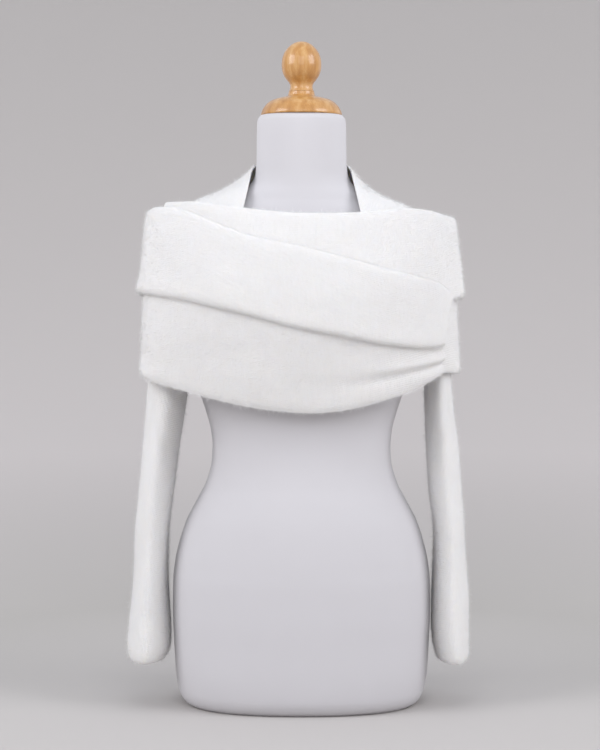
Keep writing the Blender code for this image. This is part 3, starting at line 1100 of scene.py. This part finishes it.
@dataclass
class HungPanel(WrapPanel):
    """A lower body panel, sewn to the foot of the inner leg of the collar that carries it."""

    carried_by: Callable[[str, Array], Array] = either_collar

    def top(self, angle: Array) -> Array:
        """Height of the seam at the collar's foot."""
        return self.carried_by("top", angle) - INNER_LEG - FOOT_SEAM

    def stand_off(self, angle: Array) -> Array:
        """How far the carrying collar stands off the wrap's inner surface."""
        return self.carried_by("stand_off", angle)


@dataclass
class Wrap:
    """The two collar halves and the three panels that hang from them."""

    collar_end: float = 59.8
    collar_tip: float = -58.0
    right_front_end: float = 54.5
    left_front_end: float = 24.0

    def panels(self) -> list[WrapPanel]:
        """The five panels, each with its cut, fibres, seed and lines, and where it starts and ends."""
        seated = ("back_yoke", "form_torso")
        right, left = ("right_collar",), ("left_collar",)
        right_cut = Cut((0.74, 0.165), Held.FOLDED, seated)
        left_cut = Cut((0.72, 0.165), Held.FOLDED, seated)
        right_front_cut = Cut((0.47, 0.19), Held.HUNG, right)
        left_front_cut = Cut((0.22, 0.17), Held.HUNG, left)
        back_cut = Cut((0.46, 0.19), Held.HUNG, left + right)
        right_ends = (BACK_GAP - CENTRE_BACK, self.collar_end)
        left_ends = (self.collar_tip, CENTRE_BACK - BACK_GAP)
        right_front_ends = (SIDE_GAP - SIDE_SEAM, self.right_front_end)
        left_front_ends = (self.left_front_end, SIDE_SEAM - SIDE_GAP)
        back_ends = (SIDE_SEAM + SIDE_GAP, 360.0 - SIDE_SEAM - SIDE_GAP)
        return [
            CollarHalf("right_collar", right_cut, 44000, 11, RIGHT_COLLAR, *right_ends, free_end=True),
            CollarHalf("left_collar", left_cut, 38000, 12, LEFT_COLLAR, *left_ends),
            HungPanel(
                "right_front", right_front_cut, 30000, 13, RIGHT_FRONT, *right_front_ends,
                troughs=GATHERS, carried_by=RIGHT_COLLAR.read,
            ),
            HungPanel(
                "left_front", left_front_cut, 9000, 14, LEFT_FRONT, *left_front_ends,
                carried_by=LEFT_COLLAR.read,
            ),
            HungPanel("back_panel", back_cut, 26000, 15, BACK_PANEL, *back_ends, troughs=BACK_FOLDS),
        ]

    def build(self, finishes: Finishes) -> None:
        """Builds the five panels."""
        for panel in self.panels():
            panel.build(finishes)


@dataclass
class Yoke(KnitPiece):
    """The upper back and shoulders, from the open neck edge down to the rim inside the collars."""

    turn: float = 140.0
    edge: Table = Table(
        "turn edge_x edge_y edge_z rim_z inside",
        (0, 0, 64.5, 731, 600, 0.8),
        (20, 24, 61, 730.5, 600, 0.8),
        (45, 47, 46, 728, 600, 1.0),
        (70, 61, 23, 722, 600, 4.5),
        (90, 66, -4, 714.5, 600, 7),
        (110, 69, -34, 697, 603, 7),
        (128, 73, -62, 673, 609, 4),
        (140, 77, -82, 652, 616, 0.8),
    )
    fall: Table = Table(
        "share left right back front",
        (0, 0, 0, 0, 0),
        (0.12, 0.178, 0.13, 0.08, 0.05),
        (0.33, 0.35, 0.27, 0.24, 0.14),
        (0.55, 0.435, 0.36, 0.42, 0.27),
        (0.75, 0.56, 0.51, 0.60, 0.46),
        (0.90, 0.79, 0.76, 0.80, 0.72),
        (1, 1, 1, 1, 1),
    )
    rim_hidden: float = 0.8
    rim_fade: float = 0.1
    shoulder: float = 90.0
    back_blend: float = 60.0
    front_blend: float = 38.0
    measured_at: float = 0.3

    def surface(self, at: Array, share: Array) -> Array:
        """The outer side at a turn from the centre back and a share of the way to the rim.

        In words: the plan position runs straight from the neck edge to the rim, and the height
        falls by the share that the table gives for the back, the two shoulders and the front.

        Args:
            at: degrees from the centre back towards the wearer's left.
            share: from 0 at the neck edge to 1 at the rim.

        Returns:
            The points.
        """
        size = np.abs(at)
        rim_z = self.edge.read("rim_z", size)
        rim = wrap_point(CENTRE_BACK - at, rim_z, -self.edge.read("inside", size))
        to_back = soft_step((self.shoulder - size) / self.back_blend)
        to_front = soft_step((size - self.shoulder) / self.front_blend)
        shoulder = np.where(at > 0, self.fall.read("left", share), self.fall.read("right", share))
        fall = shoulder * (1 - to_back - to_front)
        fall = fall + self.fall.read("back", share) * to_back + self.fall.read("front", share) * to_front
        x = np.sign(at) * self.edge.read("edge_x", size) * (1 - share) + rim[..., 0] * share
        y = self.edge.read("edge_y", size) * (1 - share) + rim[..., 1] * share
        z = self.edge.read("edge_z", size) * (1 - fall) + rim_z * fall
        return np.stack([x, y, z], axis=-1)

    def build(self, finishes: Finishes) -> None:
        """Builds the yoke and its nap.

        Args:
            finishes: the materials.
        """
        shares = spread_evenly(lambda s: self.surface(0 * s, s), 0.0, 1.0, GRID_STEP)
        line = self.measured_at
        turns = spread_evenly(lambda t: self.surface(t, line + 0 * t), self.turn, -self.turn, GRID_STEP)
        turn, share = np.meshgrid(turns, shares, indexing="ij")
        outer = self.surface(turn, share)
        wall = ClothWall(outer, np.full(turn.shape, KNIT))
        nap = 1 - soft_step((share[:-1, :-1] - self.rim_hidden) / self.rim_fade)
        self.dress(wall, nap + LEAST_NAP, finishes)


SLEEVE_COLUMNS = "height centre_x centre_y half_x half_y rise"

# Slow waves in a sleeve: how deep, how many round the tube, their rise and where each starts, which
# is turned the other way on the other side
SLEEVE_SLACK = Table(
    "depth waves rise start",
    (0.5, 2, 47.0, 0),
    (0.35, 3, -29.0, 1),
)


@dataclass
class Sleeve(KnitPiece):
    """An empty hanging sleeve: a tube through rings, open at the armhole and the cuff."""

    rings: Table
    folds: Table
    side: int
    hem: float = 30.0
    hem_plump: float = 1.6
    hem_line: float = 62.0
    groove_depth: float = 0.5
    groove_width: float = 2.2
    nap_top: float = 520.0
    nap_fade: float = 60.0
    measured_at: float = 300.0
    ring_points: int = 2001

    def surface(self, turn: Array, height: Array) -> Array:
        """The outer side at a turn round the tube and a height.

        In words: an ellipse with the ring's centre and half widths, its outer side raised by the
        rise, moved in by the folds and a shallow groove where the cuff's hem is caught, and made
        uneven by slow waves round and along the tube.

        Args:
            turn: degrees round the tube from the wearer's left towards the back.
            height: above the base.

        Returns:
            The points.
        """
        angle = np.radians(turn)
        at = {name: self.rings.read(name, height) for name in self.rings.columns[1:]}
        caught = self.rings.rows[0][0] + self.hem_line
        groove = self.groove_depth * bell((height - caught) / self.groove_width)
        off = -groove - trough_depth(self.folds, np.mod(turn, 360.0), height)
        for depth, waves, rise, start in SLEEVE_SLACK.rows:
            off = off + depth * np.sin(angle * waves + height / rise + self.side * start)
        x = self.side * at["centre_x"] + (at["half_x"] + off) * np.cos(angle)
        y = at["centre_y"] + (at["half_y"] + off) * np.sin(angle)
        z = height + self.side * at["rise"] * np.cos(angle)
        return np.stack([x, y, z], axis=-1)

    def build(self, finishes: Finishes) -> None:
        """Builds the sleeve and its nap.

        Args:
            finishes: the materials.
        """
        low, high = self.rings.rows[0][0], self.rings.rows[-1][0]
        heights = spread_evenly(lambda h: self.surface(0 * h, h), high, low, GRID_STEP)
        fine = np.linspace(0.0, 360.0, self.ring_points)
        run = path_length(self.surface(fine, self.measured_at + 0 * fine), 0)
        count = math.ceil(run[-1] / GRID_STEP)
        turns = np.interp(np.arange(count) * run[-1] / count, run, fine)
        turn, height = np.meshgrid(turns, heights, indexing="ij")
        hem = soft_step((self.hem - (height - low)) / self.hem)
        wall = ClothWall(self.surface(turn, height), KNIT + self.hem_plump * hem, all_round=True)
        nap = soft_step((self.nap_top - height[:, :-1]) / self.nap_fade)
        self.dress(wall, nap + LEAST_NAP, finishes)


LEFT_SLEEVE = Table(
    SLEEVE_COLUMNS,
    (60, 202.8, -2, 19.0, 57, 0),
    (67, 202.2, -2, 21.6, 60, 0),
    (84, 200.2, -2, 23.4, 61, 0),
    (112, 199.0, -1, 24.4, 61, 0),
    (139, 199.0, 0, 24.4, 60, 0),
    (179, 198.5, 1, 22.7, 58, 0),
    (232, 198.0, 2, 20.9, 57, 0),
    (286, 192.8, 3, 21.6, 56, 0),
    (340, 188.5, 3, 20.9, 55, 0),
    (390, 184.5, 2, 18.6, 52, 0),
    (426, 182.5, 0.5, 17.6, 48.5, 0),
    (460, 180.0, 0, 18.5, 47.5, 0),
    (510, 177.0, 0, 20.5, 48, 1),
    (560, 175.5, 0, 20.5, 49, 4),
    (590, 175.0, 0, 20.2, 50, 8.6),
)
RIGHT_SLEEVE = Table(
    SLEEVE_COLUMNS,
    (61, 206.4, -4, 21.0, 57, 0),
    (68, 205.2, -4, 25.8, 60, 0),
    (85, 204.3, -3, 28.4, 62, 0),
    (100, 203.8, -2, 27.8, 62, 0),
    (114, 203.5, -1, 27.0, 61, 0),
    (152, 202.5, 0, 24.2, 60, 0),
    (193, 201.2, 1, 22.8, 58, 0),
    (232, 200.0, 2, 22.8, 57, 0),
    (273, 196.0, 3, 22.9, 56, 0),
    (340, 188.5, 3, 23.5, 55, 0),
    (390, 182.0, 3, 25.4, 53, 0),
    (420, 179.0, 3, 26.4, 51, 0),
    (450, 178.0, 2, 24.5, 50, 0),
    (510, 177.0, 1, 21.5, 49, 1),
    (560, 177.0, 0, 21.0, 49, 4),
    (590, 176.0, 0, 21.0, 50, 9.1),
)
# Folds of the sleeves: here an angle is the turn round the tube
LEFT_SLEEVE_FOLDS = Table(
    TROUGH_COLUMNS,
    (300, 400, 220, 330, 1.8, 14, 22),
    (60, 360, 140, 300, 1.8, 12, 20),
    (285, 250, 215, 190, 1.2, 12, 18),
    (80, 210, 150, 150, 1.2, 10, 18),
)
RIGHT_SLEEVE_FOLDS = Table(
    TROUGH_COLUMNS,
    (240, 395, 320, 320, 1.8, 14, 22),
    (120, 370, 40, 310, 1.8, 12, 20),
    (255, 240, 325, 180, 1.2, 12, 18),
    (100, 200, 30, 150, 1.2, 10, 18),
)


def ring_heights(rows: Array, parts: Array) -> Array:
    """Heights of rings, in a column, that divide the space from each row to the next.

    Args:
        rows: the rows' heights.
        parts: how many parts each space is divided into.

    Returns:
        The heights.
    """
    below = [np.linspace(a, b, n, endpoint=False) for a, b, n in zip(rows[:-1], rows[1:], parts)]
    return np.concatenate([*below, rows[-1:]])[:, None]


def loft(rings: Array) -> tuple[Array, Array]:
    """Points and triangles of a closed body through level rings, from the lowest to the highest.

    In words: neighbours on two rings make two triangles each, and a fan closes each end on its pole,
    which lies on the axis at the ring's own height.

    Args:
        rings: rings by sides by three coordinates.

    Returns:
        The points and the triangles.
    """
    count, sides = rings.shape[:2]
    index = np.arange(count * sides).reshape(count, sides)
    beside = np.roll(index, -1, axis=1)
    a, b, c, d = index[:-1], beside[:-1], beside[1:], index[1:]
    walls = np.concatenate([np.stack([a, b, c], -1).reshape(-1, 3), np.stack([a, c, d], -1).reshape(-1, 3)])
    low = np.full(sides, count * sides)
    foot = np.stack([beside[0], index[0], low], -1)
    head = np.stack([index[-1], beside[-1], low + 1], -1)
    poles = np.array([(0.0, 0.0, rings[0, 0, 2]), (0.0, 0.0, rings[-1, 0, 2])])
    points = np.concatenate([rings.reshape(-1, 3), poles])
    return points, np.concatenate([walls, foot, head])


@dataclass
class DressForm:
    """The padded torso and neck, with the turned cap and ball finial above it."""

    sides: int = 180
    turned_sides: int = 96
    ring_step: float = 5.0
    turned_rings: int = 4
    torso_crease: float = 40.0
    turned_crease: float = 50.0
    torso: Table = Table(
        "height half_width front back power",
        (0, 148, 98, 100, 2.3),
        (5, 156, 105, 108, 2.3),
        (19, 164, 111, 115, 2.3),
        (45, 168.5, 113, 119, 2.3),
        (86, 171, 114, 122, 2.25),
        (126, 172.5, 115, 124, 2.2),
        (166, 172, 115, 123, 2.15),
        (193, 169, 114, 119, 2.1),
        (219, 163, 112, 113, 2.1),
        (246, 154, 109, 105, 2.1),
        (273, 140, 104, 96, 2.1),
        (299, 127, 98, 89, 2.1),
        (326, 120, 94, 85, 2.1),
        (346, 119, 93, 84, 2.1),
        (366, 121, 94, 85, 2.1),
        (393, 128, 97, 88, 2.1),
        (420, 137, 101, 92, 2.15),
        (455, 146, 108, 96, 2.2),
        (490, 150, 112, 100, 2.2),
        (525, 149, 111, 103, 2.2),
        (560, 148, 103, 104, 2.2),
        (590, 152, 94, 101, 2.15),
        (612, 157, 87, 97, 2.1),
        (632.5, 160, 80, 91, 2.05),
        (643, 158.5, 75.5, 86, 2.0),
        (650, 155, 72.5, 81.5, 1.95),
        (656.5, 146, 70, 77.5, 1.9),
        (661, 135, 68.3, 74.5, 1.9),
        (665, 121.5, 67, 72.2, 1.9),
        (670, 108, 65, 69.2, 1.9),
        (676, 97, 63.3, 66.5, 1.95),
        (683.5, 84, 61.5, 63.5, 2.0),
        (690.5, 73, 60, 61.5, 2.0),
        (698.5, 65, 59, 60, 2.0),
        (708, 61.5, 58, 58.5, 2.0),
        (722, 60, 57, 57, 2.05),
        (772, 59.2, 55, 55, 2.05),
        (781, 58, 54, 54, 2.05),
        (785, 54.5, 50.5, 50.5, 2.05),
    )
    cap: Table = Table(
        "height radius",
        (785.3, 53.2), (786.6, 53.8), (790, 53.0), (795.3, 50.4), (799.5, 47.2), (803.2, 43.0),
        (806.2, 37.2), (808.6, 28.6), (810.2, 21.6), (812, 18.0), (816.8, 16.9),
    )
    finial: Table = Table(
        "height radius",
        (817.1, 16.7), (819.5, 15.6), (822.7, 14.8), (825.5, 15.0), (828.5, 16.4), (832, 19.2),
        (837.5, 23.0), (844.5, 25.6), (852, 26.4), (859.5, 25.8), (866.5, 23.7), (872.5, 20.2),
        (877.2, 15.8), (880.5, 11.2), (882.5, 6.6), (883.4, 2.6),
    )

    def build_torso(self, finishes: Finishes) -> None:
        """Builds the covered torso through fine rings between the table's rows.

        Args:
            finishes: the materials.
        """
        rows = self.torso.column("height")
        parts = np.maximum(1, np.ceil(np.diff(rows) / self.ring_step)).astype(int)
        height = ring_heights(rows, parts)
        half_width, *others = (self.torso.read(name, height) for name in self.torso.columns[1:])
        angle = np.arange(self.sides)[None, :] * (360.0 / self.sides)
        x, y = oval(angle, half_width, half_width, *others)
        rings = np.stack([x, y, height + 0 * x], axis=-1)
        piece = place("form_torso_jersey", *loft(rings), finishes.jersey)
        piece.data.set_sharp_from_angle(angle=math.radians(self.torso_crease))
        present(piece, "form_torso", Slot.FORM_COVER)

    def build_turned(self, node: str, profile: Table, finishes: Finishes) -> None:
        """Builds a turned piece by carrying its profile round the axis.

        Args:
            node: the node that it stands for.
            profile: its radius by its height.
            finishes: the materials.
        """
        rows = profile.column("height")
        height = ring_heights(rows, np.full(len(rows) - 1, self.turned_rings))
        radius = profile.read("radius", height)
        turn = np.arange(self.turned_sides)[None, :] * (2 * math.pi / self.turned_sides)
        rings = np.stack([radius * np.cos(turn), radius * np.sin(turn), height + 0 * turn], axis=-1)
        piece = place(f"{node}_wood", *loft(rings), finishes.wood)
        piece.data.set_sharp_from_angle(angle=math.radians(self.turned_crease))
        present(piece, node, Slot.WOOD)

    def build(self, finishes: Finishes) -> None:
        """Builds the torso, the cap and the finial."""
        self.build_torso(finishes)
        self.build_turned("neck_cap", self.cap, finishes)
        self.build_turned("finial", self.finial, finishes)


@dataclass(frozen=True)
class SoftBox:
    """A square studio light: where it hangs, what it faces, its side in metres and its watts."""

    name: str
    place: tuple[float, float, float]
    faces: tuple[float, float, float]
    side: float
    watts: float
    colour: Rgb = (0.965, 0.962, 1.0)

    def hang(self) -> None:
        """Makes the light."""
        data = bpy.data.lights.new(self.name, "AREA")
        data.shape = "SQUARE"
        data.size = self.side
        data.energy = self.watts
        data.color = self.colour
        lamp = bpy.data.objects.new(self.name, data)
        lamp.location = self.place
        way = Vector(self.faces) - Vector(self.place)
        lamp.rotation_euler = way.to_track_quat("-Z", "Y").to_euler()
        bpy.context.scene.collection.objects.link(lamp)


@dataclass
class Studio:
    """The camera, the seamless backdrop and the soft lights."""

    flat_radius: float = 0.9
    wall_radius: float = 4.4
    cove_height: float = 2.3
    cove_power: float = 6.0
    eye_radius: float = 0.02
    cove_rings: int = 49
    cove_sides: int = 128
    sky: Rgb = (0.89, 0.93, 1.0)
    sky_strength: float = 0.78
    bounces: int = 14
    diffuse_bounces: int = 12
    lights: tuple[SoftBox, ...] = (
        SoftBox("front_light", (0.0, -2.9, 1.6), (0.0, 0.0, 0.62), 1.8, 21.0),
        SoftBox("left_light", (-2.1, -1.1, 1.75), (0.0, 0.0, 0.85), 1.5, 38.0),
        SoftBox("right_light", (2.1, -1.1, 1.75), (0.0, 0.0, 0.85), 1.5, 38.0),
        SoftBox("left_rear_light", (-2.2, 2.0, 1.1), (0.0, 0.0, 0.5), 1.5, 4.0),
        SoftBox("right_rear_light", (2.2, 2.0, 1.1), (0.0, 0.0, 0.5), 1.5, 4.0),
    )

    def set_camera(self) -> None:
        """Puts the camera where the photograph was taken from."""
        data = bpy.data.cameras.new("camera")
        data.sensor_width = SENSOR
        data.lens = EYE_FOCAL_PIXELS * SENSOR / PHOTO_LONG_SIDE
        data.dof.use_dof = False
        camera = bpy.data.objects.new("camera", data)
        camera.location = EYE_PLACE
        camera.rotation_euler = (math.radians(90.0 - EYE_PITCH), 0.0, 0.0)
        bpy.context.scene.collection.objects.link(camera)
        bpy.context.scene.camera = camera

    def lay_backdrop(self, finishes: Finishes) -> None:
        """Makes the floor and the wall in one surface, turned about the axis.

        In words: the height rises with a high power of the share of the way from the flat floor's
        radius to the wall's, so the floor runs up into the wall without an edge.

        Args:
            finishes: the materials.
        """
        share = np.linspace(0.0, 1.0, self.cove_rings)
        rise = self.flat_radius + (self.wall_radius - self.flat_radius) * share
        radius = np.concatenate([[self.eye_radius], rise])
        height = np.concatenate([[0.0], self.cove_height * share**self.cove_power])
        turn = np.linspace(0.0, 2 * math.pi, self.cove_sides, endpoint=False)
        x = radius[:, None] * np.cos(turn)
        y = radius[:, None] * np.sin(turn)
        rings = np.stack([x, y, np.broadcast_to(height[:, None], x.shape)], axis=-1) / MM
        index = np.arange(rings[..., 0].size).reshape(x.shape)
        beside = np.roll(index, -1, axis=1)
        cells = np.stack([index[:-1], index[1:], beside[1:], beside[:-1]], -1).reshape(-1, 4)
        backdrop = place("backdrop", rings.reshape(-1, 3), cells[:, ::-1], finishes.backdrop)

    def light(self) -> None:
        """Hangs the lights and sets the pale surroundings."""
        for box in self.lights:
            box.hang()
        world = bpy.data.worlds.new("surroundings")
        world.use_nodes = True
        background = world.node_tree.nodes["Background"]
        background.inputs["Color"].default_value = (*self.sky, 1.0)
        background.inputs["Strength"].default_value = self.sky_strength
        bpy.context.scene.world = world
        bpy.context.scene.view_settings.view_transform = "Standard"
        bpy.context.scene.cycles.max_bounces = self.bounces
        bpy.context.scene.cycles.diffuse_bounces = self.diffuse_bounces

    def build(self, finishes: Finishes) -> None:
        """Sets up the camera, the backdrop and the lights."""
        self.set_camera()
        self.lay_backdrop(finishes)
        self.light()


def main() -> None:
    """Builds the studio, the dress form and the shrug, in that order."""
    logging.basicConfig(level=logging.INFO, format="%(message)s")
    finishes = Finishes(
        knit=KnitFinish().material(),
        nap=NapFinish().material(),
        jersey=JerseyFinish().material(),
        wood=WoodFinish().material(),
        backdrop=BackdropFinish().material(),
    )
    Studio().build(finishes)
    DressForm().build(finishes)
    yoke_cut = Cut((0.50, 0.17), Held.DRAPED, ("form_torso",))
    Yoke("back_yoke", yoke_cut, 16000, 21).build(finishes)
    sleeve_cut = Cut((0.27, 0.53), Held.HUNG, ("back_yoke",))
    Sleeve("left_sleeve", sleeve_cut, 23000, 22, LEFT_SLEEVE, LEFT_SLEEVE_FOLDS, 1).build(finishes)
    Sleeve("right_sleeve", sleeve_cut, 23000, 23, RIGHT_SLEEVE, RIGHT_SLEEVE_FOLDS, -1).build(finishes)
    Wrap().build(finishes)


if __name__ == "__main__":
    main()
